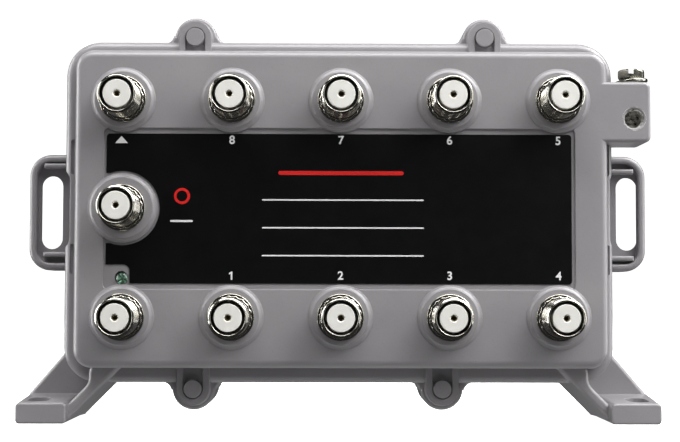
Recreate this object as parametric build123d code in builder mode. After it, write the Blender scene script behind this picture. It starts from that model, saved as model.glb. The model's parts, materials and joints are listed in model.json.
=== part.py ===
from build123d import *
import math
import os

os.makedirs("parts", exist_ok=True)

# A wall or board mounted signal amplifier for coaxial cable: a die-cast box
# with eleven threaded coaxial ports on its face, a shallow panel for a label,
# a status lamp, two slotted ears, two slotted feet, four screw lugs and a
# ground wire block, closed from behind by a plate.
#
# Frame: +Z up, +X to the right of someone facing the ports, the ports point
# to -Y. The origin is the middle of the overall box, on the soles of the feet.
# "Depth" d is measured from the rear mounting plane towards the ports.

# ------------------------------------------------------------------ dimensions
Y_BACK = 20.1            # rear mounting plane
D_TIP = 40.2             # port tips
D_FACE = 28.0            # front face
D_WALL = 25.5            # inside of the front wall
D_BOSS = 29.0            # top of the raised rings round the ports
D_FLANGE = 20.0          # front of the flange round the box
D_COVER = 2.0            # thickness of the back plate
D_LEG = 23.6             # front of the diagonal legs

FL_X, FL_CX = 69.4, -0.3   # flange half width and middle
FL_Z0, FL_Z1 = 9.6, 95.95
FL_R = 8.7
FL_EDGE_R = 1.8
PL_X, PL_CX = 66.6, 0.2    # raised front part, at its root
PL_Z0, PL_Z1 = 13.3, 92.9
PL_R = 4.9
PL_DRAFT = 2.6
FACE_EDGE_R = 1.9

CAV_X = 64.0             # hollow behind the front wall
CAV_Z0, CAV_Z1 = 16.0, 90.3
CAV2_X = 66.4            # wider hollow behind the flange
CAV2_Z0, CAV2_Z1 = 12.7, 92.4

ROW_Z = (26.2, 53.1, 80.0)
COL_X = (-54.0, -27.0, 0.0, 27.0, 54.0)
PORTS = (
    [("8", -27.0, 80.0), ("7", 0.0, 80.0), ("6", 27.0, 80.0), ("5", 54.0, 80.0)]
    + [("1", -27.0, 26.2), ("2", 0.0, 26.2), ("3", 27.0, 26.2), ("4", 54.0, 26.2)]
    + [("input", -54.0, 80.0), ("passive", -54.0, 53.1), ("power", -54.0, 26.2)]
)
BOSS_R = 8.0
BOSS_R_PASSIVE = 8.6
BORE_R = 4.92            # hole for a port shell

THREAD_R = 4.76          # 3/8-32 coaxial thread, major radius
COLLAR_R = 5.8
SHELL_BORE_R = 4.14
INS_R = 3.38
HOLE_R = 0.8

REC_X0, REC_X1 = -58.7, 58.2     # shallow panel for the label
REC_Z0, REC_Z1 = 33.0, 73.0
REC_D = 0.4
LAB_X0, LAB_X1 = -58.05, 57.3
LAB_Z0, LAB_Z1 = 34.45, 71.6
LAB_T = 0.2
LED_X, LED_Z, LED_R = -54.2, 35.9, 1.5

EAR_X = {-1: 81.25, 1: 80.2}      # outer edge of the left and right ear
EAR_Z0, EAR_Z1 = 37.95, 68.3
EAR_R = 5.6
EAR_D = 4.6
EAR_POCKET_D = 3.4      # hollow in the rear of each ear
EAR_RIM_D, EAR_RIM_W = 7.0, 2.0
SLOT_X, SLOT_Z = 75.65, 53.2
SLOT_W, SLOT_L = 5.6, 19.2
RIB_T, RIB_D = 1.3, 7.4
RIB_X = {-1: 77.4, 1: 77.0}
RIB_Z = {-1: (42.1, 65.3), 1: (41.4, 64.2)}

PAD_X0, PAD_X1, PAD_X1_BACK = 67.2, 79.6, 81.7
PAD_T = 5.1
PAD_T_BACK = 5.9
FSLOT_X = 75.2
FSLOT_D, FSLOT_L, FSLOT_W = 19.0, 10.4, 5.2
WEB_T = 3.5

LUG_R = 5.4
LUG_FLARE = 2.5
LUGS = [(-36.97, 97.05, 1), (36.55, 97.05, 1), (-36.97, 8.1, -1), (25.73, 8.1, -1)]
POST_R = 2.25

BLK_X0, BLK_X1 = 63.4, 77.2
BLK_Z0, BLK_Z1 = 69.8, 84.95
BLK_D0 = 14.6
WIRE_X, WIRE_Z, WIRE_R = 73.0, 75.7, 2.42
GS_X, GS_D = 73.65, 21.3
GS_R = 2.05
GS_TIP_Z = 73.5
WASHER_R, WASHER_BORE_R, WASHER_T = 4.15, 2.36, 0.85
WASHER_TILT = 5.0        # the loose washer lies on its left edge
HEAD_Z = BLK_Z1 + 1.6

PCB_D0, PCB_D1 = 15.0, 16.6
POSTS = [(-40.5, 80.0), (40.5, 80.0), (-40.5, 26.2), (40.5, 26.2), (13.5, 53.1), (59.0, 53.1)]


def at(d):
    """Plane parallel to the face, d in front of the rear mounting plane."""
    return Plane.XZ.offset(d - Y_BACK)


def turned(x, z):
    """Plane through a port's axis: local x is the radius, local y the depth."""
    return Plane(origin=(x, Y_BACK, z), x_dir=(1, 0, 0), z_dir=(0, 0, -1))


def port_axis(x, z):
    return Axis((x, Y_BACK, z), (0, -1, 0))


def write(p, name):
    p.part.label = name
    export_step(p.part, "parts/%s.step" % name)


# --------------------------------------------- foot pieces, joined further down
pads = {}
for s in (-1, 1):
    back = PAD_X1_BACK - s * FL_CX
    with BuildPart() as pad:
        with BuildSketch(at(0)):
            with Locations(((PAD_X0 + back) / 2, PAD_T_BACK / 2 - 0.05)):
                RectangleRounded(back - PAD_X0, PAD_T_BACK + 0.1, 1.1)
        with BuildSketch(at(D_FACE)):
            with Locations(((PAD_X0 + PAD_X1) / 2, PAD_T / 2 - 0.05)):
                RectangleRounded(PAD_X1 - PAD_X0, PAD_T + 0.1, 1.1)
        loft()
        fillet(pad.faces().sort_by(Axis.Y)[0].edges(), 0.55)
        # level sole
        with BuildSketch(Plane.XY.offset(-1)):
            with Locations(((PAD_X0 + back) / 2, 0)):
                Rectangle(30, 60)
        extrude(amount=1, mode=Mode.SUBTRACT)
        with BuildSketch(Plane.XY.offset(-1)):
            with Locations((FSLOT_X, Y_BACK - FSLOT_D)):
                SlotOverall(FSLOT_L, FSLOT_W, rotation=90)
        extrude(amount=PAD_T_BACK + 2, mode=Mode.SUBTRACT)
    pads[s] = pad.part

with BuildPart() as leg:
    with BuildSketch(at(0)):
        with BuildLine():
            Polyline(
                (51.85, 15.18),
                (66.9, 0.13),
                (70.0, 0.13),
                (70.0, 3.07),
                (63.1, 9.97),
                (63.1, 15.18),
                close=True,
            )
        make_face()
        fillet(vertices().filter_by(lambda v: abs(v.X - 63.1) < 0.3 and v.Z < 12), 3.0)
    extrude(amount=D_LEG, taper=2)
    fillet(leg.faces().sort_by(Axis.Y)[0].edges(), 0.95)

with BuildPart() as web:
    with BuildSketch(at(0)):
        with BuildLine():
            Polyline(
                (60.0, 12.0),
                (66.0, 2.0),
                (80.9, 2.0),
                (81.1, 5.7),
                (67.4, 21.7),
                (60.0, 21.7),
                close=True,
            )
        make_face()
    extrude(amount=WEB_T)
    fillet(web.faces().sort_by(Axis.Y)[0].edges().filter_by(lambda e: e.center().X > 70 and e.center().Z > 6), 1.0)

# ears: a slotted plate with a rounded rim on three sides and two low ribs
ears = []
for s in (-1, 1):
    with BuildPart() as ear:
        with BuildSketch(at(0)):
            with Locations((s * (EAR_X[s] + 66.0) / 2, (EAR_Z0 + EAR_Z1) / 2)):
                Rectangle(EAR_X[s] - 66.0, EAR_Z1 - EAR_Z0)
            fillet(vertices().filter_by(lambda v: abs(v.X) > 78), EAR_R)
        extrude(amount=EAR_RIM_D)
        fillet(ear.faces().sort_by(Axis.Y)[0].edges().filter_by(lambda e: abs(e.center().X) > 67), 1.15)
        with BuildSketch(at(EAR_D)):
            with Locations((s * (EAR_X[s] - EAR_RIM_W + 65.0) / 2, (EAR_Z0 + EAR_Z1) / 2)):
                Rectangle(EAR_X[s] - EAR_RIM_W - 65.0, EAR_Z1 - EAR_Z0 - 2 * EAR_RIM_W)
            fillet(vertices().filter_by(lambda v: abs(v.X) > 76), EAR_R - EAR_RIM_W)
        extrude(amount=EAR_RIM_D, mode=Mode.SUBTRACT)
        fillet(ear.faces().sort_by(Axis.Y)[0].edges().filter_by(lambda e: 67 < abs(e.center().X) < EAR_X[s] - 1.5 and EAR_Z0 + 1.5 < e.center().Z < EAR_Z1 - 1.5), 0.65)
        with BuildSketch(at(0)):
            with Locations((s * SLOT_X, SLOT_Z)):
                SlotOverall(SLOT_L, SLOT_W, rotation=90)
        extrude(amount=EAR_D + 1, mode=Mode.SUBTRACT)
        with BuildSketch(at(EAR_D - 0.5)):
            for rz in RIB_Z[s]:
                with Locations((s * (66.0 + RIB_X[s] - 2) / 2, rz)):
                    Rectangle(RIB_X[s] - 2 - 66.0 + 4, RIB_T)
        extrude(amount=RIB_D - EAR_D + 0.5)
        fillet(ear.faces().filter_by_position(Axis.Y, Y_BACK - RIB_D - 0.01, Y_BACK - RIB_D + 0.01).edges().filter_by(lambda e: abs(e.center().X) > 66.5), 0.5)
        with BuildSketch(at(0)):
            with Locations((s * (70.9 + EAR_X[s] - 1.15) / 2, (EAR_Z0 + EAR_Z1) / 2)):
                RectangleRounded(EAR_X[s] - 1.15 - 70.9, EAR_Z1 - EAR_Z0 - 2 * EAR_RIM_W, 1.4)
        extrude(amount=EAR_POCKET_D, mode=Mode.SUBTRACT)
        # root fillets where the plate runs into the box
        with BuildSketch(at(0)):
            for ez, up in ((EAR_Z0, -1), (EAR_Z1, 1)):
                with Locations((s * (FL_X + s * FL_CX + 0.4), ez + up * 0.2)):
                    Rectangle(3.4, 3.2)
                with Locations((s * (FL_X + s * FL_CX + 2.1), ez + up * 1.8)):
                    Circle(1.8, mode=Mode.SUBTRACT)
        extrude(amount=EAR_D)
    ears.append(ear.part)

with BuildPart() as lugs:
    for lx, lz, up in LUGS:
        line = FL_Z1 if up > 0 else FL_Z0
        w = LUG_R + 0.2
        with BuildSketch(at(D_COVER)):
            with Locations((lx, lz)):
                Circle(LUG_R)
            with Locations((lx, (lz + line - up * 3) / 2)):
                Rectangle(2 * w, abs(lz - line + up * 3))
            with Locations((lx, line + up * 0.97 - up * 1.5)):
                Rectangle(2 * (w + LUG_FLARE) - 0.2, 1.94 + 3.0)
            for s in (-1, 1):
                with Locations((lx + s * (w + LUG_FLARE), line + up * LUG_FLARE)):
                    Circle(LUG_FLARE, mode=Mode.SUBTRACT)
        extrude(amount=18.0 - D_COVER)
    fillet(lugs.faces().filter_by_position(Axis.Y, Y_BACK - 18.01, Y_BACK - 17.99).edges(), 0.8)

with BuildPart() as block:
    with BuildSketch(at(BLK_D0)):
        with Locations(((BLK_X0 + BLK_X1) / 2, (BLK_Z0 + BLK_Z1) / 2)):
            Rectangle(BLK_X1 - BLK_X0, BLK_Z1 - BLK_Z0)
        fillet(vertices().group_by(Axis.X)[-1], 1.5)
    extrude(amount=D_FACE - BLK_D0)
    fillet(block.faces().sort_by(Axis.Y)[0].edges().filter_by(lambda e: e.center().X > BLK_X0 + 1), 0.9)

# ------------------------------------------------------------- front housing
with BuildPart() as front_housing:
    # rear tub with the flange outline and the four screw lugs
    with BuildSketch(at(D_COVER)):
        with Locations((FL_CX, (FL_Z0 + FL_Z1) / 2)):
            RectangleRounded(2 * FL_X, FL_Z1 - FL_Z0, FL_R)
    extrude(amount=D_FLANGE - D_COVER)
    fillet(front_housing.faces().sort_by(Axis.Y)[0].edges(), FL_EDGE_R)
    add(lugs.part)
    # raised front part, with a rounded edge round the face
    with BuildSketch(at(D_FLANGE - 1)):
        with Locations((PL_CX, (PL_Z0 + PL_Z1) / 2)):
            RectangleRounded(2 * PL_X, PL_Z1 - PL_Z0, PL_R)
    extrude(amount=D_FACE - D_FLANGE + 1, taper=PL_DRAFT)
    fillet(front_housing.faces().sort_by(Axis.Y)[0].edges(), FACE_EDGE_R)
    # ground wire block, flush with the face
    add(block.part)
    # raised U of each lug, and its post
    for lx, lz, up in LUGS:
        wall = PL_Z1 - 1 if up > 0 else PL_Z0 + 1
        with BuildSketch(at(17.0)):
            with Locations((lx, lz)):
                Circle(4.55)
            with Locations((lx, (lz + wall) / 2)):
                Rectangle(9.1, abs(lz - wall))
        extrude(amount=3.6, taper=8)
        with BuildSketch(at(19.8)):
            with Locations((lx, (lz + wall) / 2)):
                Rectangle(5.0, abs(lz - wall))
            with Locations((lx, lz)):
                Circle(2.5)
        extrude(amount=4.0, mode=Mode.SUBTRACT)
        with BuildSketch(at(17.0)):
            with Locations((lx, lz)):
                Circle(POST_R + 0.45)
        extrude(amount=4.2, taper=6)
    # ears
    for piece in ears:
        add(piece)
    # feet: a pad that spans the whole depth, a diagonal leg and a rear web
    for piece in (pads[1], leg.part, web.part):
        add(piece.moved(Location((FL_CX, 0, 0))))
    for piece in (pads[-1], leg.part, web.part):
        add(piece.mirror(Plane.YZ).moved(Location((FL_CX, 0, 0))))
    # relief in the flange beside each slot, and short grooves beyond its ends
    for s in (-1, 1):
        with BuildSketch(at(8.0)):
            with Locations((s * 71.5, SLOT_Z)):
                SlotOverall(20.6, 6.2, rotation=90)
        extrude(amount=13.0, mode=Mode.SUBTRACT)
        with BuildSketch(at(19.4)):
            for gz, gl in ((66.4, 8.8), (40.6, 7.6)):
                with Locations((s * 67.7, gz)):
                    SlotOverall(gl, 0.9, rotation=90)
        extrude(amount=2.0, mode=Mode.SUBTRACT)
    # hollows, open to the rear
    with BuildSketch(at(D_COVER)):
        with Locations((0, (CAV2_Z0 + CAV2_Z1) / 2)):
            RectangleRounded(2 * CAV2_X, CAV2_Z1 - CAV2_Z0, 5.4)
    extrude(amount=16.4 - D_COVER, mode=Mode.SUBTRACT)
    with BuildSketch(at(0)):
        with Locations((0, (CAV_Z0 + CAV_Z1) / 2)):
            RectangleRounded(2 * CAV_X, CAV_Z1 - CAV_Z0, 4.0)
    extrude(amount=D_WALL, mode=Mode.SUBTRACT)
    # seat for the back plate
    with BuildSketch(at(0)):
        with Locations((FL_CX, (FL_Z0 + FL_Z1) / 2)):
            RectangleRounded(2 * FL_X, FL_Z1 - FL_Z0, FL_R)
        for lx, lz, up in LUGS:
            with Locations((lx, lz)):
                Circle(LUG_R)
            with Locations((lx, lz - up * 2.5)):
                Rectangle(2 * LUG_R, 5.0)
    extrude(amount=D_COVER, mode=Mode.SUBTRACT)
    # groove for the gasket in the rear rim
    with BuildSketch(at(D_COVER)):
        with Locations((FL_CX, (FL_Z0 + FL_Z1) / 2)):
            RectangleRounded(2 * FL_X - 2.0, FL_Z1 - FL_Z0 - 2.0, FL_R - 1.0)
            RectangleRounded(2 * FL_X - 3.6, FL_Z1 - FL_Z0 - 3.6, FL_R - 1.8, mode=Mode.SUBTRACT)
    extrude(amount=0.8, mode=Mode.SUBTRACT)
    # recessed panel for the label
    with BuildSketch(at(D_FACE - REC_D)):
        with Locations(((REC_X0 + REC_X1) / 2, (REC_Z0 + REC_Z1) / 2)):
            RectangleRounded(REC_X1 - REC_X0, REC_Z1 - REC_Z0, 1.2)
    extrude(amount=REC_D + 0.5, mode=Mode.SUBTRACT)
    # raised rings round the ports, with rounded shoulders
    for name, x, z in PORTS:
        rb = BOSS_R_PASSIVE if name == "passive" else BOSS_R
        with BuildSketch(turned(x, z)):
            with BuildLine():
                l1 = Polyline((0, 26.5), (rb, 26.5), (rb, D_FACE + 0.15))
                l2 = RadiusArc(l1 @ 1, (rb - 1.05, D_BOSS), 1.25)
                Polyline(l2 @ 1, (0, D_BOSS), (0, 26.5))
            make_face()
        revolve(axis=port_axis(x, z))
    # inner rings that lengthen the port holes, and the board posts
    for name, x, z in PORTS:
        with BuildSketch(at(22.6)):
            with Locations((x, z)):
                Circle(7.2)
        extrude(amount=D_WALL - 22.6 + 0.2)
    for px, pz in POSTS:
        with BuildSketch(at(PCB_D1)):
            with Locations((px, pz)):
                Circle(3.0)
        extrude(amount=D_WALL - PCB_D1 + 0.2)
        with BuildSketch(at(PCB_D1)):
            with Locations((px, pz)):
                Circle(1.3)
        extrude(amount=5.6, mode=Mode.SUBTRACT)
    for name, x, z in PORTS:
        with BuildSketch(at(20.0)):
            with Locations((x, z)):
                Circle(BORE_R)
        extrude(amount=12, mode=Mode.SUBTRACT)
    # lamp hole
    with BuildSketch(at(20.0)):
        with Locations((LED_X, LED_Z)):
            Circle(LED_R + 0.06)
    extrude(amount=12, mode=Mode.SUBTRACT)
    # screw holes in the lugs, from the rear
    for lx, lz, up in LUGS:
        with BuildSketch(at(D_COVER)):
            with Locations((lx, lz)):
                Circle(1.3)
        extrude(amount=11.0, mode=Mode.SUBTRACT)
    # ground block: wire hole and the hole for its screw
    with BuildSketch(at(BLK_D0 - 1)):
        with Locations((WIRE_X, WIRE_Z)):
            Circle(WIRE_R)
    extrude(amount=D_FACE - BLK_D0 + 3, mode=Mode.SUBTRACT)
    with BuildSketch(turned(WIRE_X, WIRE_Z)):
        with BuildLine():
            Polyline((0, D_FACE - 0.3), (WIRE_R, D_FACE - 0.3), (WIRE_R + 0.5, D_FACE + 0.2), (0, D_FACE + 0.2), close=True)
        make_face()
    revolve(axis=port_axis(WIRE_X, WIRE_Z), mode=Mode.SUBTRACT)
    with BuildSketch(Plane.XY.offset(GS_TIP_Z - 1.4)):
        with Locations((GS_X, Y_BACK - GS_D)):
            Circle(GS_R + 0.06)
    extrude(amount=15, mode=Mode.SUBTRACT)
write(front_housing, "front_housing")

# ---------------------------------------------------------------- back plate
with BuildPart() as back_cover:
    with BuildSketch(at(0)):
        with Locations((FL_CX, (FL_Z0 + FL_Z1) / 2)):
            RectangleRounded(2 * FL_X - 0.3, FL_Z1 - FL_Z0 - 0.3, FL_R)
        for lx, lz, up in LUGS:
            with Locations((lx, lz)):
                Circle(LUG_R - 0.15)
            with Locations((lx, lz - up * 2.0)):
                Rectangle(2 * LUG_R - 0.3, 4.0)
    extrude(amount=D_COVER)
    # shallow stiffening panel
    with BuildSketch(at(0)):
        with Locations((FL_CX, (FL_Z0 + FL_Z1) / 2)):
            RectangleRounded(118.0, 64.0, 5.0)
    extrude(amount=0.5, mode=Mode.SUBTRACT)
    # countersunk screw holes
    for lx, lz, up in LUGS:
        with BuildSketch(turned(lx, lz)):
            with BuildLine():
                Polyline((0, -0.1), (3.117, -0.1), (1.5, 1.432), (1.5, 2.1), (0, 2.1), close=True)
            make_face()
        revolve(axis=port_axis(lx, lz), mode=Mode.SUBTRACT)
write(back_cover, "back_cover")

with BuildPart() as cover_gasket:
    with BuildSketch(at(D_COVER)):
        with Locations((FL_CX, (FL_Z0 + FL_Z1) / 2)):
            RectangleRounded(2 * FL_X - 2.1, FL_Z1 - FL_Z0 - 2.1, FL_R - 1.05)
            RectangleRounded(2 * FL_X - 3.5, FL_Z1 - FL_Z0 - 3.5, FL_R - 1.75, mode=Mode.SUBTRACT)
    extrude(amount=0.75)
write(cover_gasket, "cover_gasket")

with BuildPart() as cover_screws:
    for lx, lz, up in LUGS:
        with BuildSketch(turned(lx, lz)):
            with BuildLine():
                Polyline(
                    (0, 0.05), (2.75, 0.05), (2.75, 0.2), (1.22, 1.65), (1.22, 10.6), (0.9, 11.0), (0, 11.0), close=True
                )
            make_face()
        revolve(axis=port_axis(lx, lz))
        with BuildSketch(at(0)):
            with Locations((lx, lz)):
                Rectangle(3.2, 0.75)
                Rectangle(0.75, 3.2)
        extrude(amount=1.1, mode=Mode.SUBTRACT)
write(cover_screws, "cover_screws")

# ------------------------------------------------------------- coaxial ports
for name, x, z in PORTS:
    with BuildPart() as shell:
        with BuildSketch(turned(x, z)):
            with BuildLine():
                Polyline(
                    (2.65, 19.6),
                    (4.15, 19.6),
                    (4.15, 22.6),
                    (4.86, 22.6),
                    (4.86, D_BOSS),
                    (COLLAR_R, D_BOSS),
                    (COLLAR_R, D_BOSS + 0.65),
                    (COLLAR_R - 0.15, D_BOSS + 0.8),
                    (4.42, D_BOSS + 0.8),
                    (4.42, D_BOSS + 1.25),
                    (THREAD_R, D_BOSS + 1.55),
                    (THREAD_R, D_TIP - 0.3),
                    (4.5, D_TIP),
                    (SHELL_BORE_R + 0.08, D_TIP),
                    (SHELL_BORE_R, D_TIP - 0.12),
                    (SHELL_BORE_R, 26.6),
                    (2.65, 26.6),
                    close=True,
                )
            make_face()
        revolve(axis=port_axis(x, z))
    write(shell, "port_%s_shell" % name)

    with BuildPart() as insulator:
        with BuildSketch(turned(x, z)):
            with BuildLine():
                Polyline(
                    (HOLE_R, 18.6),
                    (2.57, 18.6),
                    (2.57, 26.66),
                    (SHELL_BORE_R - 0.07, 26.66),
                    (SHELL_BORE_R - 0.07, 33.4),
                    (INS_R, 33.4),
                    (INS_R, D_TIP - 0.22),
                    (INS_R - 0.12, D_TIP - 0.1),
                    (HOLE_R + 0.22, D_TIP - 0.1),
                    (HOLE_R, D_TIP - 0.32),
                    close=True,
                )
            make_face()
        revolve(axis=port_axis(x, z))
    write(insulator, "port_%s_insulator" % name)

    with BuildPart() as contact:
        with BuildSketch(turned(x, z)):
            with BuildLine():
                Polyline(
                    (0, 13.9),
                    (0.42, 13.9),
                    (0.42, 18.0),
                    (0.73, 18.4),
                    (0.73, D_TIP - 1.0),
                    (0.62, D_TIP - 0.9),
                    (0.46, D_TIP - 0.9),
                    (0.42, D_TIP - 1.1),
                    (0.42, 31.0),
                    (0, 31.0),
                    close=True,
                )
            make_face()
        revolve(axis=port_axis(x, z))
    write(contact, "port_%s_contact" % name)

# -------------------------------------------------------------------- label
with BuildPart() as front_label:
    with BuildSketch(at(D_FACE - REC_D)):
        with Locations(((LAB_X0 + LAB_X1) / 2, (LAB_Z0 + LAB_Z1) / 2)):
            RectangleRounded(LAB_X1 - LAB_X0, LAB_Z1 - LAB_Z0, 0.8)
        with Locations((-54.0, 53.1)):
            Circle(9.2, mode=Mode.SUBTRACT)
        with Locations((LAB_X0, 53.1)):
            Rectangle(8.0, 17.4, mode=Mode.SUBTRACT)
        with Locations((-57.1, 34.45)):
            RectangleRounded(10.0, 9.4, 1.7, mode=Mode.SUBTRACT)
    extrude(amount=LAB_T)
write(front_label, "front_label")

# --------------------------------------------------------------- status lamp
with BuildPart() as status_lamp:
    with BuildSketch(at(19.2)):
        with Locations((LED_X, LED_Z)):
            Circle(1.9)
    extrude(amount=1.0)
    with BuildSketch(at(20.2)):
        with Locations((LED_X, LED_Z)):
            Circle(LED_R)
    extrude(amount=8.15)
    fillet(status_lamp.faces().sort_by(Axis.Y)[0].edges(), 0.7)
    with BuildSketch(at(13.9)):
        with Locations((LED_X - 0.9, LED_Z), (LED_X + 0.9, LED_Z)):
            Circle(0.25)
    extrude(amount=5.3)
write(status_lamp, "status_lamp")

# ------------------------------------------------------------- ground screw
tilt = math.radians(WASHER_TILT)
washer_z = BLK_Z1 + 0.06 + WASHER_R * math.sin(tilt) + WASHER_T / 2 * math.cos(tilt)
washer_plane = Plane(
    origin=(GS_X, Y_BACK - GS_D, washer_z),
    x_dir=(math.cos(tilt), 0, math.sin(tilt)),
    z_dir=(-math.sin(tilt), 0, math.cos(tilt)),
)
with BuildPart() as ground_washer:
    with BuildSketch(washer_plane):
        Circle(WASHER_R)
        Circle(WASHER_BORE_R, mode=Mode.SUBTRACT)
    extrude(amount=WASHER_T / 2, both=True)
    fillet(ground_washer.edges().filter_by(GeomType.CIRCLE).sort_by(SortBy.RADIUS)[-2:], 0.25)
write(ground_washer, "ground_washer")

with BuildPart() as ground_screw:
    with BuildSketch(Plane.XY.offset(HEAD_Z)):
        with Locations((GS_X, Y_BACK - GS_D)):
            RegularPolygon(6.35 / 2, 6, major_radius=False, rotation=12)
    extrude(amount=2.35)
    # rounded top corners of the hexagon
    with BuildSketch(Plane(origin=(GS_X, Y_BACK - GS_D, 0), x_dir=(1, 0, 0), z_dir=(0, -1, 0))):
        with BuildLine():
            Polyline((3.25, HEAD_Z + 2.4), (3.9, HEAD_Z + 2.4), (3.9, HEAD_Z + 1.9), close=True)
        make_face()
    revolve(axis=Axis((GS_X, Y_BACK - GS_D, 0), (0, 0, 1)), mode=Mode.SUBTRACT)
    with BuildSketch(Plane.XY.offset(HEAD_Z + 2.35)):
        with Locations(Location((GS_X, Y_BACK - GS_D, 0), (0, 0, 78))):
            Rectangle(9.0, 1.25)
    extrude(amount=-1.35, mode=Mode.SUBTRACT)
    with BuildSketch(Plane.XY.offset(HEAD_Z)):
        with Locations((GS_X, Y_BACK - GS_D)):
            Circle(GS_R)
    extrude(amount=-(HEAD_Z - GS_TIP_Z))
    chamfer(ground_screw.faces().sort_by(Axis.Z)[0].edges(), 0.45)
write(ground_screw, "ground_screw")

# ---------------------------------------------------- circuit board and parts
with BuildPart() as circuit_board:
    with BuildSketch(at(PCB_D0)):
        with Locations((0, 53.1)):
            RectangleRounded(125.0, 71.6, 3.0)
        for px, pz in POSTS:
            with Locations((px, pz)):
                Circle(1.6, mode=Mode.SUBTRACT)
        for name, x, z in PORTS:
            with Locations((x, z)):
                Circle(0.6, mode=Mode.SUBTRACT)
        with Locations((LED_X - 0.9, LED_Z), (LED_X + 0.9, LED_Z)):
            Circle(0.38, mode=Mode.SUBTRACT)
    extrude(amount=PCB_D1 - PCB_D0)
write(circuit_board, "circuit_board")

with BuildPart() as board_screws:
    for px, pz in POSTS:
        with BuildSketch(turned(px, pz)):
            with BuildLine():
                Polyline((0, 13.0), (2.2, 13.0), (2.75, 13.6), (2.75, PCB_D0), (1.22, PCB_D0), (1.22, 21.6), (0, 21.6), close=True)
            make_face()
        revolve(axis=port_axis(px, pz))
        with BuildSketch(at(13.0)):
            with Locations((px, pz)):
                Rectangle(3.0, 0.7)
                Rectangle(0.7, 3.0)
        extrude(amount=0.9, mode=Mode.SUBTRACT)
write(board_screws, "board_screws")


with BuildPart() as bypass_relay:
    with BuildSketch(at(PCB_D0)):
        with Locations((-41.5, 55.0)):
            Rectangle(10.6, 15.4)
    extrude(amount=-8.2)
    fillet(bypass_relay.edges().filter_by(Axis.Y), 0.6)
    chamfer(bypass_relay.faces().sort_by(Axis.Y)[-1].edges(), 0.4)
write(bypass_relay, "bypass_relay")

with BuildPart() as filter_shield:
    with BuildSketch(at(PCB_D0)):
        with Locations((-20.0, 66.0)):
            Rectangle(30.0, 24.0)
    extrude(amount=-7.6)
    fillet(filter_shield.edges().filter_by(Axis.Y), 1.0)
    with BuildSketch(at(PCB_D0)):
        with Locations((-20.0, 66.0)):
            Rectangle(29.2, 23.2)
    extrude(amount=-7.2, mode=Mode.SUBTRACT)
    with BuildSketch(at(PCB_D0 - 8)):
        with Locations((-20.0, 66.0)):
            with GridLocations(7.0, 7.0, 4, 3):
                Circle(1.0)
    extrude(amount=2.0, mode=Mode.SUBTRACT)
write(filter_shield, "filter_shield")

with BuildPart() as filter_coils:
    for cx in (-31.0, -26.0, -21.0, -16.0, -11.0):
        for cz in (60.0, 71.0):
            with BuildSketch(Plane.XY.offset(cz)):
                with Locations((cx, Y_BACK - PCB_D0 + 1.75)):
                    Circle(1.7)
                    Circle(1.1, mode=Mode.SUBTRACT)
            extrude(amount=4.2)
write(filter_coils, "filter_coils")

with BuildPart() as forward_amplifier:
    with BuildSketch(at(PCB_D0 - 0.15)):
        with Locations((12.0, 68.0)):
            Rectangle(5.0, 6.2)
    extrude(amount=-1.55)
    with BuildSketch(at(PCB_D0)):
        with Locations((12.0, 68.0)):
            with GridLocations(6.9, 1.27, 2, 4):
                Rectangle(2.4, 0.42)
    extrude(amount=-0.35)
write(forward_amplifier, "forward_amplifier")

with BuildPart() as return_amplifier:
    with BuildSketch(at(PCB_D0 - 0.15)):
        with Locations((12.0, 40.0)):
            Rectangle(4.0, 4.0)
    extrude(amount=-1.35)
    with BuildSketch(at(PCB_D0)):
        with Locations((12.0, 40.0)):
            with GridLocations(5.2, 1.27, 2, 3):
                Rectangle(2.0, 0.42)
    extrude(amount=-0.35)
write(return_amplifier, "return_amplifier")

with BuildPart() as power_choke:
    with BuildSketch(turned(-28.0, 38.0)):
        with BuildLine():
            Polyline(
                (0, PCB_D0), (5.0, PCB_D0), (5.0, 14.2), (4.2, 14.2), (4.2, 8.6), (5.0, 8.6), (5.0, 7.6), (0, 7.6), close=True
            )
        make_face()
    revolve(axis=port_axis(-28.0, 38.0))
write(power_choke, "power_choke")

with BuildPart() as filter_capacitor:
    with BuildSketch(turned(-12.5, 38.5)):
        with BuildLine():
            Polyline(
                (0, PCB_D0), (4.0, PCB_D0), (4.0, 13.6), (3.8, 13.3), (4.0, 13.0), (4.0, 5.3), (3.7, 5.0), (0, 5.0), close=True
            )
        make_face()
    revolve(axis=port_axis(-12.5, 38.5))
write(filter_capacitor, "filter_capacitor")

with BuildPart() as voltage_regulator:
    with BuildSketch(at(PCB_D0)):
        with Locations((0.5, 40.0)):
            Rectangle(6.5, 6.0)
    extrude(amount=-2.3)
    with BuildSketch(at(PCB_D0)):
        with Locations((0.5, 43.9)):
            Rectangle(5.2, 1.9)
        with Locations((-1.8, 35.7), (2.8, 35.7)):
            Rectangle(0.8, 2.7)
    extrude(amount=-0.5)
write(voltage_regulator, "voltage_regulator")

with BuildPart() as surge_arrester:
    with BuildSketch(Plane.YZ.offset(-54.0)):
        with Locations((Y_BACK - PCB_D0 + 2.6, 68.5)):
            Circle(2.5)
    extrude(amount=5.6)
    with BuildSketch(Plane.YZ.offset(-56.5)):
        with Locations((Y_BACK - PCB_D0 + 2.6, 68.5)):
            Circle(0.4)
    extrude(amount=10.6)
    with BuildSketch(at(PCB_D0)):
        with Locations((-56.1, 68.5), (-46.3, 68.5)):
            Circle(0.4)
    extrude(amount=-2.6)
write(surge_arrester, "surge_arrester")

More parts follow.
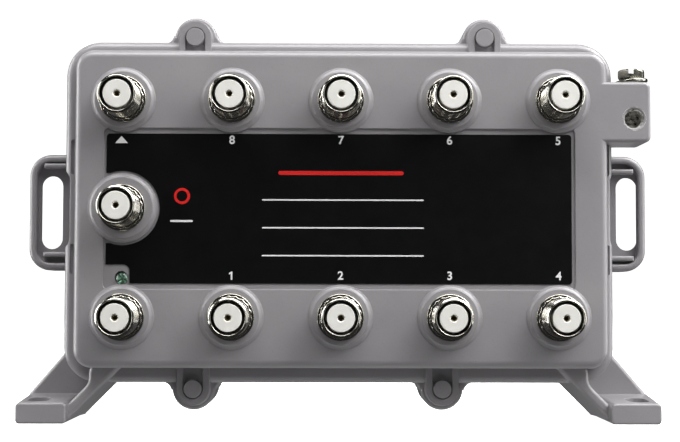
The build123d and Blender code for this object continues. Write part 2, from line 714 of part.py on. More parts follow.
CORES = [(24.0, 60.0), (36.0, 72.0), (36.0, 47.0), (48.5, 78.5), (48.5, 66.0), (48.5, 44.0), (48.5, 31.0)]
for i, (cx, cz) in enumerate(CORES):
    with BuildPart() as core:
        with BuildSketch(at(PCB_D0)):
            with Locations((cx, cz)):
                Rectangle(7.0, 6.2)
        extrude(amount=-4.4)
        fillet(core.edges().filter_by(Axis.Z), 1.3)
        with BuildSketch(Plane.XY.offset(cz - 4)):
            with Locations((cx - 1.5, Y_BACK - PCB_D0 + 2.2), (cx + 1.5, Y_BACK - PCB_D0 + 2.2)):
                Circle(0.85)
        extrude(amount=8, mode=Mode.SUBTRACT)
    write(core, "splitter_core_%d" % (i + 1))
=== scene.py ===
import bpy
import bmesh
import json
import math
from mathutils import Matrix, Vector


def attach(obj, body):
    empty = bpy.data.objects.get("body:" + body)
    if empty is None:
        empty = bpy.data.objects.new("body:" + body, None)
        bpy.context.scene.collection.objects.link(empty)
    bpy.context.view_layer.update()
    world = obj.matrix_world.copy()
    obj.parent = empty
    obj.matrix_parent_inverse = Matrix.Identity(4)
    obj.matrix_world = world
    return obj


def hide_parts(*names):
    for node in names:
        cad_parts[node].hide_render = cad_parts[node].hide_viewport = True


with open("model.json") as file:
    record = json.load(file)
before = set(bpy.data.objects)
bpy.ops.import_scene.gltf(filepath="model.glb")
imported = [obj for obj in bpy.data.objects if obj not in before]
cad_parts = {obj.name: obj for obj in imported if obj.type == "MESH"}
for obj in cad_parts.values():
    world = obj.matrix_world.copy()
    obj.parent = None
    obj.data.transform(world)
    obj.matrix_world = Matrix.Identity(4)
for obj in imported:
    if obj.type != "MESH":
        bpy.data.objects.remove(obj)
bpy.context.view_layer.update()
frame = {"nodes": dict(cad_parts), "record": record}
nodes = frame["nodes"]

Y_BACK = 0.0201
MM = 0.001


def depth(d_mm):
    """World Y of a depth in mm in front of the rear mounting plane."""
    return Y_BACK - d_mm * MM


# ------------------------------------------------------------------- camera
PITCH, YAW, ROLL = -0.05047, -0.008642, 0.002304
base = Matrix(((1, 0, 0), (0, 0, -1), (0, 1, 0)))
cp, sp = math.cos(PITCH), math.sin(PITCH)
cy, sy = math.cos(YAW), math.sin(YAW)
cr, sr = math.cos(ROLL), math.sin(ROLL)
Rp = Matrix(((1, 0, 0), (0, cp, -sp), (0, sp, cp)))
Ry = Matrix(((cy, 0, sy), (0, 1, 0), (-sy, 0, cy)))
Rr = Matrix(((cr, -sr, 0), (sr, cr, 0), (0, 0, 1)))
R = Rr @ Rp @ Ry @ base
right, down, forward = R[0], R[1], R[2]
cam_data = bpy.data.cameras.new("camera")
cam = bpy.data.objects.new("camera", cam_data)
bpy.context.scene.collection.objects.link(cam)
m = Matrix.Identity(4)
for i in range(3):
    m[i][0] = right[i]
    m[i][1] = -down[i]
    m[i][2] = -forward[i]
m[0][3], m[1][3], m[2][3] = -0.003316, -0.37192, 0.03161
cam.matrix_world = m
cam_data.sensor_width = 36.0
cam_data.lens = 77.97
cam_data.clip_start = 0.01
cam_data.clip_end = 20
bpy.context.scene.camera = cam


# ---------------------------------------------------------------- materials
class Mat:
    def __init__(self, name):
        self.m = bpy.data.materials.new(name)
        self.m.use_nodes = True
        self.t = self.m.node_tree
        self.t.nodes.clear()
        self.out = self.t.nodes.new("ShaderNodeOutputMaterial")
        self.p = self.t.nodes.new("ShaderNodeBsdfPrincipled")
        self.link(self.p.outputs["BSDF"], self.out.inputs["Surface"])
        self.tc = self.t.nodes.new("ShaderNodeTexCoord")

    def link(self, a, b):
        self.t.links.new(a, b)

    def set(self, **kw):
        for k, v in kw.items():
            k = k.replace("_", " ")
            s = self.p.inputs[k]
            if isinstance(v, tuple) and len(v) == 3 and len(s.default_value) == 4:
                v = v + (1.0,)
            s.default_value = v
        return self

    def noise(self, scale, detail=4.0, rough=0.55, stretch=None, distortion=0.0):
        n = self.t.nodes.new("ShaderNodeTexNoise")
        n.inputs["Scale"].default_value = scale
        n.inputs["Detail"].default_value = detail
        n.inputs["Roughness"].default_value = rough
        n.inputs["Distortion"].default_value = distortion
        v = self.tc.outputs["Object"]
        if stretch:
            mp = self.t.nodes.new("ShaderNodeMapping")
            mp.inputs["Scale"].default_value = stretch
            self.link(v, mp.inputs["Vector"])
            v = mp.outputs["Vector"]
        self.link(v, n.inputs["Vector"])
        return n.outputs["Fac"]

    def voronoi(self, scale, feature="F1"):
        n = self.t.nodes.new("ShaderNodeTexVoronoi")
        n.feature = feature
        n.inputs["Scale"].default_value = scale
        self.link(self.tc.outputs["Object"], n.inputs["Vector"])
        return n.outputs["Distance"]

    def ramp(self, fac, stops):
        n = self.t.nodes.new("ShaderNodeValToRGB")
        e = n.color_ramp.elements
        while len(e) < len(stops):
            e.new(0.5)
        for el, (pos, col) in zip(e, stops):
            el.position = pos
            if isinstance(col, (int, float)):
                col = (col, col, col)
            el.color = (*col, 1.0)
        self.link(fac, n.inputs["Fac"])
        return n.outputs["Color"]

    def mix(self, fac, a, b, blend="MIX"):
        n = self.t.nodes.new("ShaderNodeMix")
        n.data_type = "RGBA"
        n.blend_type = blend
        if isinstance(fac, (int, float)):
            n.inputs[0].default_value = fac
        else:
            self.link(fac, n.inputs[0])
        for s, v in ((6, a), (7, b)):
            if isinstance(v, tuple):
                n.inputs[s].default_value = (*v, 1.0)
            else:
                self.link(v, n.inputs[s])
        return n.outputs[2]

    def range(self, fac, lo, hi):
        n = self.t.nodes.new("ShaderNodeMapRange")
        n.inputs["To Min"].default_value = lo
        n.inputs["To Max"].default_value = hi
        self.link(fac, n.inputs["Value"])
        return n.outputs["Result"]

    def math(self, op, a, b=None):
        n = self.t.nodes.new("ShaderNodeMath")
        n.operation = op
        for i, v in enumerate((a, b)):
            if v is None:
                continue
            if isinstance(v, (int, float)):
                n.inputs[i].default_value = v
            else:
                self.link(v, n.inputs[i])
        return n.outputs[0]

    def bump(self, height, strength, distance, normal=None):
        n = self.t.nodes.new("ShaderNodeBump")
        n.inputs["Strength"].default_value = strength
        n.inputs["Distance"].default_value = distance
        self.link(height, n.inputs["Height"])
        if normal is not None:
            self.link(normal, n.inputs["Normal"])
        return n.outputs["Normal"]

    def bevel(self, radius, samples=6):
        n = self.t.nodes.new("ShaderNodeBevel")
        n.samples = samples
        n.inputs["Radius"].default_value = radius
        return n.outputs["Normal"]

    def color(self, c):
        self.link(c, self.p.inputs["Base Color"])
        return self

    def rough(self, r):
        self.link(r, self.p.inputs["Roughness"])
        return self

    def normal(self, n):
        self.link(n, self.p.inputs["Normal"])
        return self


# baked grey paint over a die casting: faint mottling, orange peel, pin specks
paint = Mat("cast_paint")
paint.set(Metallic=0.0, Specular_IOR_Level=0.5, Coat_Weight=0.35, Coat_Roughness=0.12)
mottle = paint.noise(55.0, 5.0, 0.6)
fine = paint.noise(1400.0, 3.0, 0.6)
c = paint.ramp(mottle, [(0.3, (0.250, 0.241, 0.252)), (0.7, (0.285, 0.274, 0.283))])
speck = paint.ramp(paint.noise(2600.0, 2.0, 0.5), [(0.62, (1, 1, 1)), (0.74, (0.82, 0.82, 0.82))])
c = paint.mix(0.55, c, speck, "MULTIPLY")
paint.color(c)
paint.rough(paint.range(fine, 0.30, 0.42))
peel = paint.bump(paint.noise(700.0, 3.0, 0.5), 0.35, 0.00006, paint.bevel(0.00028, 6))
peel = paint.bump(paint.noise(150.0, 2.0, 0.5), 0.25, 0.00012, peel)
paint.normal(paint.bump(fine, 0.25, 0.00002, peel))

back_paint = Mat("back_plate")
back_paint.set(Metallic=0.0, Coat_Weight=0.15, Coat_Roughness=0.25)
back_paint.color(back_paint.ramp(back_paint.noise(60.0, 5.0, 0.6), [(0.3, (0.235, 0.228, 0.238)), (0.7, (0.265, 0.256, 0.264))]))
back_paint.rough(back_paint.range(back_paint.noise(1200.0, 3.0), 0.38, 0.5))
back_paint.normal(back_paint.bump(back_paint.noise(900.0, 3.0), 0.4, 0.00006, back_paint.bevel(0.0002, 4)))

# bright nickel plate
nickel = Mat("port_nickel")
nickel.set(Metallic=1.0)
nickel.color(nickel.ramp(nickel.noise(420.0, 4.0), [(0.3, (0.56, 0.54, 0.475)), (0.7, (0.70, 0.68, 0.615))]))
nickel.rough(nickel.range(nickel.noise(1800.0, 4.0), 0.10, 0.22))
nickel.normal(nickel.bump(nickel.noise(2600.0, 3.0), 0.12, 0.00001))

# off-white moulded disc
disc = Mat("port_insulator")
disc.set(Specular_IOR_Level=0.45, Subsurface_Weight=0.05, Subsurface_Radius=(0.8, 0.75, 0.6), Subsurface_Scale=0.0008)
disc.color(disc.ramp(disc.noise(260.0, 4.0), [(0.3, (0.70, 0.69, 0.645)), (0.7, (0.77, 0.76, 0.72))]))
disc.rough(disc.range(disc.noise(1500.0, 3.0), 0.36, 0.5))
disc.normal(disc.bump(disc.noise(1500.0, 3.0), 0.25, 0.00002))

contact = Mat("contact_plated")
contact.set(Metallic=1.0)
contact.color(contact.ramp(contact.noise(900.0, 3.0), [(0.3, (0.55, 0.45, 0.28)), (0.7, (0.68, 0.58, 0.38))]))
contact.rough(contact.range(contact.noise(1500.0, 3.0), 0.2, 0.35))

# black satin film with a faint grain
film = Mat("label_print")
film.set(Specular_IOR_Level=0.45)
film.color(film.ramp(film.noise(1500.0, 3.0), [(0.3, (0.0016, 0.0016, 0.0020)), (0.7, (0.0028, 0.0028, 0.0034))]))
film.rough(film.range(film.noise(350.0, 5.0), 0.26, 0.36))
film.normal(film.bump(film.noise(2200.0, 2.0), 0.15, 0.00001, film.bump(film.noise(60.0, 2.0), 0.12, 0.00012)))

ink = Mat("label_ink_white")
ink.set(Specular_IOR_Level=0.4)
ink.color(ink.ramp(ink.noise(2500.0, 3.0), [(0.3, (0.74, 0.74, 0.74)), (0.7, (0.84, 0.84, 0.84))]))
ink.rough(ink.range(ink.noise(900.0), 0.4, 0.5))

ink_red = Mat("label_ink_red")
ink_red.set(Specular_IOR_Level=0.4)
ink_red.color(ink_red.ramp(ink_red.noise(2500.0, 3.0), [(0.3, (0.60, 0.012, 0.010)), (0.7, (0.72, 0.02, 0.016))]))
ink_red.rough(ink_red.range(ink_red.noise(900.0), 0.4, 0.5))

# zinc plated fasteners, with turning marks
zinc = Mat("screw_zinc")
zinc.set(Metallic=1.0)
zinc.color(zinc.ramp(zinc.noise(500.0, 4.0), [(0.32, (0.12, 0.12, 0.095)), (0.52, (0.30, 0.295, 0.25)), (0.7, (0.60, 0.585, 0.52))]))
zinc.rough(zinc.range(zinc.noise(900.0, 4.0, 0.6, (1.0, 1.0, 6.0)), 0.14, 0.30))
zinc.normal(zinc.bump(zinc.noise(1500.0, 3.0, 0.5, (1.0, 1.0, 5.0)), 0.2, 0.00002, zinc.bevel(0.00012, 4)))

# dark-green lens
lens = Mat("lamp_lens")
lens.set(Transmission_Weight=0.85, IOR=1.5, Coat_Weight=0.5, Coat_Roughness=0.04)
lens.color(lens.ramp(lens.noise(700.0, 3.0), [(0.3, (0.24, 0.48, 0.34)), (0.7, (0.34, 0.60, 0.44))]))
lens.rough(lens.range(lens.noise(900.0), 0.04, 0.10))

# pale green colour of the facets is a painted reflection: the cup's glints are drawn bright whatever the light
lamp_painted_glints = Mat("lamp_painted_glints")
lamp_painted_glints.set(Metallic=0.15)
lamp_painted_glints.color(lamp_painted_glints.ramp(lamp_painted_glints.noise(1500.0, 3.0), [(0.3, (0.62, 0.80, 0.68)), (0.7, (0.80, 0.95, 0.85))]))
lamp_painted_glints.rough(lamp_painted_glints.range(lamp_painted_glints.noise(900.0), 0.25, 0.4))


def plain(name, lo, hi, metallic=0.0, r=(0.4, 0.55), scale=500.0, bump=0.3, dist=0.00003):
    a = Mat(name)
    a.set(Metallic=metallic)
    a.color(a.ramp(a.noise(scale, 4.0), [(0.3, lo), (0.7, hi)]))
    a.rough(a.range(a.noise(scale * 2.3, 3.0), *r))
    a.normal(a.bump(a.noise(scale * 3.0, 3.0), bump, dist))
    return a


steel = plain("screw_steel", (0.50, 0.49, 0.47), (0.62, 0.61, 0.59), 1.0, (0.25, 0.38))
rubber = plain("gasket_rubber", (0.02, 0.02, 0.02), (0.04, 0.04, 0.04), 0.0, (0.7, 0.85), 900.0, 0.5)
laminate = plain("board_laminate", (0.02, 0.13, 0.05), (0.03, 0.18, 0.07), 0.0, (0.3, 0.42), 300.0, 0.3)
black = plain("moulded_black", (0.015, 0.015, 0.017), (0.028, 0.028, 0.03), 0.0, (0.5, 0.65), 900.0, 0.4)
tinned = plain("tinned_sheet", (0.55, 0.55, 0.53), (0.66, 0.66, 0.63), 1.0, (0.25, 0.4), 300.0, 0.2)
copper = plain("coil_copper", (0.60, 0.26, 0.10), (0.78, 0.38, 0.17), 1.0, (0.25, 0.38), 900.0, 0.3)
ferrite = plain("ferrite", (0.035, 0.034, 0.034), (0.06, 0.058, 0.056), 0.1, (0.55, 0.7), 900.0, 0.5)
sleeve_m = plain("can_sleeve", (0.02, 0.025, 0.05), (0.03, 0.04, 0.08), 0.0, (0.2, 0.3), 500.0, 0.15)
ceramic = plain("arrester_ceramic", (0.68, 0.66, 0.62), (0.80, 0.78, 0.74), 0.0, (0.2, 0.3), 300.0, 0.2)

by_slot = {
    "cast_paint": paint, "back_plate": back_paint, "gasket_rubber": rubber, "screw_steel": steel,
    "board_laminate": laminate, "label_print": film, "lamp_lens": lens, "moulded_black": black,
    "tinned_sheet": tinned, "coil_copper": copper, "ferrite": ferrite, "can_sleeve": sleeve_m,
    "arrester_ceramic": ceramic, "port_nickel": nickel, "port_insulator": disc,
    "contact_plated": contact, "ground_plated": zinc,
}
slot_of = {s["node"]: s["material_slot"] for s in frame["record"]["subparts"]}
for name, o in nodes.items():
    use = by_slot[slot_of[name]].m
    if not o.material_slots:
        o.data.materials.append(use)
    for s in o.material_slots:
        s.material = use


# --------------------------------------------------------------- mesh tools
def make(name, verts, faces, material, sharp=32.0):
    me = bpy.data.meshes.new(name)
    me.from_pydata(verts, [], faces)
    me.validate()
    me.update()
    for p in me.polygons:
        p.use_smooth = True
    me.set_sharp_from_angle(angle=math.radians(sharp))
    o = bpy.data.objects.new(name, me)
    bpy.context.scene.collection.objects.link(o)
    me.materials.append(material.m)
    return o


def lathe_rows(rows, seg, place, closed=True):
    """rows: functions or (r, h) pairs; a function takes the angle and gives (r, h)."""
    verts, faces = [], []
    n = len(rows)
    for row in rows:
        for k in range(seg):
            a = 2 * math.pi * k / seg
            r, h = row(a) if callable(row) else row
            verts.append(place(r * math.cos(a), r * math.sin(a), h))
    for i in range(n if closed else n - 1):
        j = (i + 1) % n
        for k in range(seg):
            l = (k + 1) % seg
            faces.append((i * seg + k, i * seg + l, j * seg + l, j * seg + k))
    return verts, faces


def outward(o):
    bm = bmesh.new()
    bm.from_mesh(o.data)
    bmesh.ops.recalc_face_normals(bm, faces=bm.faces)
    bm.to_mesh(o.data)
    bm.free()
    o.data.update()


# ------------------------------------------------------------------- ports
PORTS = [
    ("8", -27.0, 80.0), ("7", 0.0, 80.0), ("6", 27.0, 80.0), ("5", 54.0, 80.0),
    ("1", -27.0, 26.2), ("2", 0.0, 26.2), ("3", 27.0, 26.2), ("4", 54.0, 26.2),
    ("input", -54.0, 80.0), ("passive", -54.0, 53.1), ("power", -54.0, 26.2),
]
PITCH_T = 0.794
T0, T1 = 30.5, 40.0          # threaded length, as depths
R_MAJ, R_MIN = 4.76, 4.37


def thread_r(d, a, turn=0.0):
    ph = (d / PITCH_T + a / (2 * math.pi) + turn) % 1.0
    w = abs(ph - 0.5) * 2.0          # 1 at root, 0 at crest
    f = min(1.0, max(0.0, (0.86 - w) / 0.70))
    f = f * f * (3 - 2 * f)
    r = R_MIN + (R_MAJ - R_MIN) * f
    fade = min(1.0, max(0.0, (d - T0) / 0.5))
    r = R_MIN + 0.05 + (r - R_MIN - 0.05) * fade if d < T0 + 0.5 else r
    lead = 4.47 + (T1 + 0.18 - d) * 0.95   # chamfer at the mouth
    return min(r, lead)


def port_sleeve(name, x, z, turn):
    rows = [(2.65, 26.6), (4.14, 26.6), (4.14, 33.0), (4.14, 39.6), (4.14, 40.02)]
    rows += [(4.155, 40.10), (4.19, 40.165), (4.245, 40.195), (4.33, 40.2), (4.40, 40.19)]
    steps = 176
    for i in range(steps + 1):
        d = T1 + 0.12 - (T1 + 0.12 - T0) * i / steps
        rows.append(lambda a, d=d: (thread_r(d, a, turn), d))
    rows += [(4.40, 30.42), (4.40, 30.24)]
    # knurled ring, collar, and the body in the housing's bore
    def knurl(lo, hi):
        return lambda a: lo + (hi - lo) * (0.5 + 0.5 * math.cos(a * 18 + turn)) ** 1.6
    for h, lo, hi in ((30.22, 4.55, 4.70), (30.18, 4.98, 5.20), (30.08, 5.08, 5.33), (29.92, 5.10, 5.36), (29.84, 5.06, 5.30)):
        f = knurl(lo, hi)
        rows.append(lambda a, f=f, h=h: (f(a), h))
    rows += [(5.42, 29.80), (5.58, 29.79), (5.70, 29.76), (5.77, 29.69), (5.80, 29.58)]
    rows += [(5.80, 29.2), (5.80, 29.0), (4.86, 29.0), (4.86, 22.6), (4.15, 22.6), (4.15, 19.6), (2.65, 19.6)]
    v, f = lathe_rows(rows, 96, lambda c, s, h: (x * MM + c * MM, depth(h), z * MM + s * MM))
    o = make("port_%s_sleeve" % name, v, f, nickel, 50.0)
    outward(o)
    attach(o, "base")
    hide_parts("port_%s_shell" % name)
    return o


for i, (name, x, z) in enumerate(PORTS):
    port_sleeve(name, x, z, 0.37 * i)

# ---------------------------------------------- bare metal in the wire hole, coloured with painted shade and painted glints
bare_glint_shade = Mat("bare_casting_painted_glints")
bare_glint_shade.set(Metallic=0.35)
# the near-black and near-white stops are painted shade and painted glints blotched over the grey metal
bare_glint_shade.color(bare_glint_shade.ramp(bare_glint_shade.noise(1100.0, 6.0, 0.7), [(0.42, (0.03, 0.028, 0.022)), (0.48, (0.50, 0.49, 0.45)), (0.54, (0.97, 0.96, 0.93))]))
bare_glint_shade.rough(bare_glint_shade.range(bare_glint_shade.noise(700.0, 3.0), 0.35, 0.6))
bare_glint_shade.normal(bare_glint_shade.bump(bare_glint_shade.noise(900.0, 5.0, 0.65), 0.9, 0.0002))

# ------------------------------------------------------------ ground screw
GX, GY = 0.07365, depth(21.3)
BLK_Z1 = 84.95
HEAD = BLK_Z1 + 1.6
HEX_A = 3.175


def gplace(c, s, h):
    a = math.radians(12)
    return (GX + (c * math.cos(a) - s * math.sin(a)) * MM, GY + (c * math.sin(a) + s * math.cos(a)) * MM, h * MM)


def hex_r(a, cap):
    k = (a % (math.pi / 3)) - math.pi / 6
    return min(HEX_A / math.cos(k), cap)


def screw_thread(h, a):
    ph = (h / PITCH_T + a / (2 * math.pi)) % 1.0
    w = abs(ph - 0.5) * 2.0
    f = min(1.0, max(0.0, (0.88 - w) / 0.72))
    r = 1.62 + (2.05 - 1.62) * f
    return min(r, 1.55 + max(0.0, h - 73.5) * 1.0)


rows = [(0.001, 73.5), (0.8, 73.5), (1.5, 73.5)]
for i in range(200):
    h = 73.56 + (HEAD - 0.3 - 73.56) * i / 199
    rows.append(lambda a, h=h: (screw_thread(h, a), h))
rows += [(1.9, HEAD - 0.2), (1.95, HEAD)]
rows += [(2.9, HEAD), lambda a: (hex_r(a, 3.5) - 0.06, HEAD), lambda a: (hex_r(a, 3.6), HEAD + 0.08)]
rows += [lambda a: (hex_r(a, 3.62), HEAD + 0.5), lambda a: (hex_r(a, 3.62), HEAD + 1.5)]
for cap, h in ((3.60, 1.6), (3.50, 1.8), (3.36, 1.98), (3.18, 2.14), (2.95, 2.26)):
    rows.append(lambda a, cap=cap, h=h: (hex_r(a, cap), HEAD + h))
rows += [(2.7, HEAD + 2.33), (2.2, HEAD + 2.35), (1.0, HEAD + 2.35), (0.001, HEAD + 2.35)]
v, f = lathe_rows(rows, 96, gplace, closed=False)
v += [gplace(0, 0, 73.5), gplace(0, 0, HEAD + 2.35)]
n = len(rows)
f += [(len(v) - 2, (k + 1) % 96, k) for k in range(96)]
f += [(len(v) - 1, (n - 1) * 96 + k, (n - 1) * 96 + (k + 1) % 96) for k in range(96)]
screw = make("ground_screw_detailed", v, f, zinc, 35.0)
bm = bmesh.new()
bm.from_mesh(screw.data)
bmesh.ops.remove_doubles(bm, verts=bm.verts, dist=0.0000025)
bmesh.ops.recalc_face_normals(bm, faces=bm.faces)
bm.to_mesh(screw.data)
bm.free()
cut = bpy.data.meshes.new("slot_cutter")
bm = bmesh.new()
bmesh.ops.create_cube(bm, size=1.0)
rot = Matrix.Rotation(math.radians(78), 4, "Z")
for vert in bm.verts:
    vert.co = Vector((vert.co.x * 9.0 * MM, vert.co.y * 1.25 * MM, vert.co.z * 2.7 * MM))
    vert.co = rot @ vert.co + Vector((GX, GY, (HEAD + 2.35) * MM))
bm.to_mesh(cut)
bm.free()
cutter = bpy.data.objects.new("slot_cutter", cut)
bpy.context.scene.collection.objects.link(cutter)
mod = screw.modifiers.new("slot", "BOOLEAN")
mod.operation = "DIFFERENCE"
mod.solver = "EXACT"
mod.object = cutter
bpy.context.view_layer.update()
dg = bpy.context.evaluated_depsgraph_get()
done = bpy.data.meshes.new_from_object(screw.evaluated_get(dg))
screw.modifiers.clear()
screw.data = done
bpy.data.objects.remove(cutter)
for p in screw.data.polygons:
    p.use_smooth = True
screw.data.set_sharp_from_angle(angle=math.radians(30))
# the screw shank in the wire hole takes the same painted shade and painted glints
screw.data.materials.append(bare_glint_shade.m)
for p in screw.data.polygons:
    if p.center.z < (HEAD - 0.4) * MM:
        p.material_index = 1
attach(screw, "ground_screw")
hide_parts("ground_screw")

WX, WZ = 73.0, 75.7
rows = [(2.93, 28.02), (2.97, 27.98), (2.42, 27.45), (2.42, 16.0), (2.24, 16.0)]
steps = 90
for i in range(steps + 1):
    d = 16.3 + (27.25 - 16.3) * i / steps
    rows.append(lambda a, d=d: (2.21 + 0.10 * (0.5 + 0.5 * math.cos(2 * math.pi * (d / 0.9 + a / (2 * math.pi)))) + 0.03 * math.sin(9 * a + 3 * d), d))
rows += [(2.33, 27.4), (2.62, 27.72)]
v, f = lathe_rows(rows, 72, lambda c, s, h: ((WX + c) * MM, depth(h), (WZ + s) * MM))
lining = make("wire_hole_lining", v, f, bare_glint_shade, 40.0)
outward(lining)
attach(lining, "base")

# ------------------------------------------------------------------- lamp
LX, LZ = -53.95, 35.6
rows = []
for k in range(9):
    a = math.radians(90 - k * 90 / 8)
    rows.append((max(0.004, 1.5 * math.cos(a)), 27.55 + 0.8 * math.sin(a)))
rows += [(1.5, 27.0), (1.5, 20.2), (1.9, 20.2), (1.9, 19.2), (0.004, 19.2)]
v, f = lathe_rows(rows, 48, lambda c, s, h: ((LX + c) * MM, depth(h), (LZ + s) * MM))
lamp = make("status_lamp_lens", v, f, lens, 40.0)
outward(lamp)
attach(lamp, "base")
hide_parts("status_lamp")
# light facets under the lens, painted reflections of the lamps in the reflector cup, over a dark seat
v, f = [], []
for s0, s1 in ((4, 46), (96, 114), (148, 192), (222, 246), (298, 326)):
    b = len(v)
    a0, a1 = math.radians(s0), math.radians(s1)
    for lift in (0.0, -0.2):
        for r, h, a in ((0.25, 26.6, a0), (1.42, 27.3, a0), (1.42, 27.3, (a0 + a1) / 2), (1.42, 27.3, a1), (0.25, 26.6, a1)):
            v.append(((LX + r * math.cos(a)) * MM, depth(h + lift), (LZ + r * math.sin(a)) * MM))
    f.append(tuple(b + i for i in range(5)))
    f.append(tuple(b + 5 + i for i in reversed(range(5))))
    for i in range(5):
        j = (i + 1) % 5
        f.append((b + i, b + 5 + i, b + 5 + j, b + j))
core = make("status_lamp_painted_glints", v, f, lamp_painted_glints, 30.0)
outward(core)
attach(core, "base")
seat_m = plain("lamp_seat", (0.004, 0.012, 0.008), (0.012, 0.03, 0.02), 0.0, (0.5, 0.7), 1200.0, 0.3)
v, f = lathe_rows([(0.004, 26.2), (1.46, 26.2), (1.46, 25.9), (0.004, 25.9)], 40, lambda c, s, h: ((LX + c) * MM, depth(h), (LZ + s) * MM))
seat = make("status_lamp_seat", v, f, seat_m, 30.0)
outward(seat)
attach(seat, "base")


# ------------------------------------------------------------- label print
LABEL_D = 27.8


def text(name, body, x, z, size, material, align="CENTER"):
    cu = bpy.data.curves.new(name, "FONT")
    cu.body = body
    cu.size = size * MM
    cu.align_x = align
    cu.align_y = "CENTER"
    cu.extrude = 0.000006
    cu.offset = 0.00006
    o = bpy.data.objects.new(name, cu)
    bpy.context.scene.collection.objects.link(o)
    o.rotation_euler = (math.pi / 2, 0, 0)
    o.location = (x * MM, depth(LABEL_D + 0.012), z * MM)
    bpy.context.view_layer.update()
    dg = bpy.context.evaluated_depsgraph_get()
    me = bpy.data.meshes.new_from_object(o.evaluated_get(dg))
    me.transform(o.matrix_world)
    bpy.data.objects.remove(o)
    p = bpy.data.objects.new(name, me)
    bpy.context.scene.collection.objects.link(p)
    me.materials.clear()
    me.materials.append(material.m)
    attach(p, "base")
    return p


def printed(name, outline, material, hole=None):
    """A thin printed patch on the label; outline in mm, hole is a second outline of as many points."""
    lo, hi = depth(LABEL_D - 0.02), depth(LABEL_D + 0.018)
    verts = [(x * MM, lo, z * MM) for x, z in outline] + [(x * MM, hi, z * MM) for x, z in outline]
    n = len(outline)
    faces = [(i, (i + 1) % n, n + (i + 1) % n, n + i) for i in range(n)]
    if hole:
        verts += [(x * MM, lo, z * MM) for x, z in hole] + [(x * MM, hi, z * MM) for x, z in hole]
        for i in range(n):
            j = (i + 1) % n
            faces += [(2 * n + j, 2 * n + i, 3 * n + i, 3 * n + j)]
            faces += [(n + i, n + j, 3 * n + j, 3 * n + i), (j, i, 2 * n + i, 2 * n + j)]
    else:
        faces += [tuple(range(n, 2 * n)), tuple(reversed(range(n)))]
    o = make(name, verts, faces, material, 30.0)
    outward(o)
    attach(o, "base")
    return o


def rule(name, x0, x1, z, h, material):
    r = h / 2
    pts = []
    for cx, a0 in ((x1 - r, -90), (x0 + r, 90)):
        for k in range(7):
            a = math.radians(a0 + k * 30)
            pts.append((cx + r * math.cos(a), z + r * math.sin(a)))
    return printed(name, pts, material)


def circle(x, z, r, n=40):
    return [(x + r * math.cos(2 * math.pi * k / n), z + r * math.sin(2 * math.pi * k / n)) for k in range(n)]


for n, x, z in PORTS[:8]:
    zz = 70.0 if z > 60 else 36.4
    if n == "1":
        printed("label_number_1", [(x + a, zz + b) for a, b in ((-0.14, -1.02), (0.28, -1.02), (0.28, 1.02), (-0.06, 1.02), (-0.62, 0.62), (-0.62, 0.26), (-0.14, 0.52))], ink)
    else:
        text("label_number_" + n, n, x, zz, 2.9, ink)
# plain rules and a ring, no lettering
rule("label_rule_red", -15.5, 15.6, 61.9, 1.0, ink_red)
rule("label_rule_1", -19.5, 20.6, 55.2, 0.34, ink)
rule("label_rule_2", -19.5, 20.6, 48.3, 0.34, ink)
rule("label_rule_3", -19.5, 20.6, 41.4, 0.34, ink)
printed("label_ring_red", circle(-39.3, 56.1, 2.0), ink_red, circle(-39.3, 56.1, 1.35))
rule("label_rule_4", -42.2, -36.6, 49.9, 0.5, ink)
printed("label_arrow", [(-56.0, 69.2), (-52.8, 69.2), (-54.4, 71.0)], ink)

# ------------------------------------------------------------------- stage
# a round white studio: floor, coved corner, wall and ceiling; it is what the
# camera sees, and the soft boxes alone light the object
v, f = [], []
prof = [(0.0, 0.0), (0.6, 0.0), (1.2, 0.0), (1.8, 0.0)]
for k in range(1, 13):
    a = math.radians(k * 90 / 12)
    prof.append((1.8 + 0.7 * math.sin(a), 0.7 - 0.7 * math.cos(a)))
prof += [(2.5, 1.6), (2.5, 2.4)]
for k in range(1, 13):
    a = math.radians(k * 90 / 12)
    prof.append((1.8 + 0.7 * math.cos(a), 2.4 + 0.7 * math.sin(a)))
prof += [(0.9, 3.1), (0.0, 3.1)]
SEG = 64
for r, z in prof:
    for k in range(SEG):
        a = 2 * math.pi * k / SEG
        v.append((max(r, 0.01) * math.cos(a), max(r, 0.01) * math.sin(a), z - 0.0001))
for i in range(len(prof) - 1):
    for k in range(SEG):
        l = (k + 1) % SEG
        f.append((i * SEG + k, i * SEG + l, (i + 1) * SEG + l, (i + 1) * SEG + k))
f += [tuple(range(SEG)), tuple(range(len(v) - SEG, len(v)))]
white = Mat("studio_white")
white.set(Roughness=0.9, Specular_IOR_Level=0.0, Emission_Color=(1.0, 1.0, 1.0), Emission_Strength=1.0)
white.color(white.ramp(white.noise(6.0, 3.0), [(0.3, (0.86, 0.86, 0.86)), (0.7, (0.88, 0.88, 0.88))]))
stage = make("studio_room", v, f, white, 80.0)
stage.visible_diffuse = False
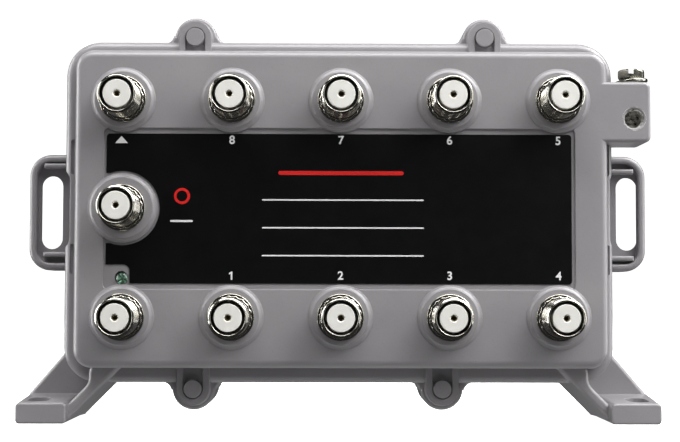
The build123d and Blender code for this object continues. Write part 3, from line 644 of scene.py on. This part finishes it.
stage.visible_glossy = False
stage.visible_transmission = False
stage.visible_shadow = False


def area(name, loc, target, size, size_y, power, color=(1, 1, 1)):
    d = bpy.data.lights.new(name, "AREA")
    d.shape = "RECTANGLE"
    d.size, d.size_y = size, size_y
    d.energy = power
    d.color = color
    o = bpy.data.objects.new(name, d)
    o.location = loc
    o.rotation_euler = (Vector(target) - Vector(loc)).to_track_quat("-Z", "Y").to_euler()
    o.visible_camera = False
    bpy.context.scene.collection.objects.link(o)
    return o


LIGHTS = [
    ("top_front_box", (0.0, -0.35, 0.85), (0, 0, 0.05), 1.0, 0.5, 10.0),
    ("right_high_box", (0.6, -0.15, 0.7), (0, 0, 0.05), 0.5, 0.5, 9.0),
    ("near_key_box", (0.34, -0.34, 0.36), (0, 0, 0.05), 0.25, 0.25, 1.0),
    ("right_front_box", (0.8, -0.4, 0.15), (0, 0, 0.05), 0.4, 0.6, 0.9),
    ("right_side_box", (0.9, 0.02, 0.2), (0, 0, 0.05), 0.4, 0.9, 3.5),
    ("left_side_box", (-0.9, -0.01, 0.2), (0, 0, 0.05), 0.4, 0.9, 8.0),
    ("left_back_box", (-0.8, 0.25, 0.2), (0, 0, 0.05), 0.3, 0.9, 1.0),
    ("left_front_box", (-0.75, -0.45, 0.25), (0, 0, 0.05), 0.4, 0.6, 0.8),
    ("floor_bounce", (0.05, 0.0, -0.35), (0, 0, 0.05), 0.8, 0.4, 1.7),
    ("back_box", (0.0, 1.1, 0.75), (0, 0, 0.05), 1.4, 0.6, 3.2),
]
for name, loc, target, sx, sy, power in LIGHTS:
    lamp_o = area(name, loc, target, sx, sy, power)
    if name == "floor_bounce":
        lamp_o.visible_glossy = False

world = bpy.data.worlds.new("studio")
bpy.context.scene.world = world
world.use_nodes = True
world.node_tree.nodes["Background"].inputs[0].default_value = (0.97, 0.98, 1.0, 1)
world.node_tree.nodes["Background"].inputs[1].default_value = 0.025
bpy.context.scene.view_settings.view_transform = "Standard"

bpy.context.view_layer.update()
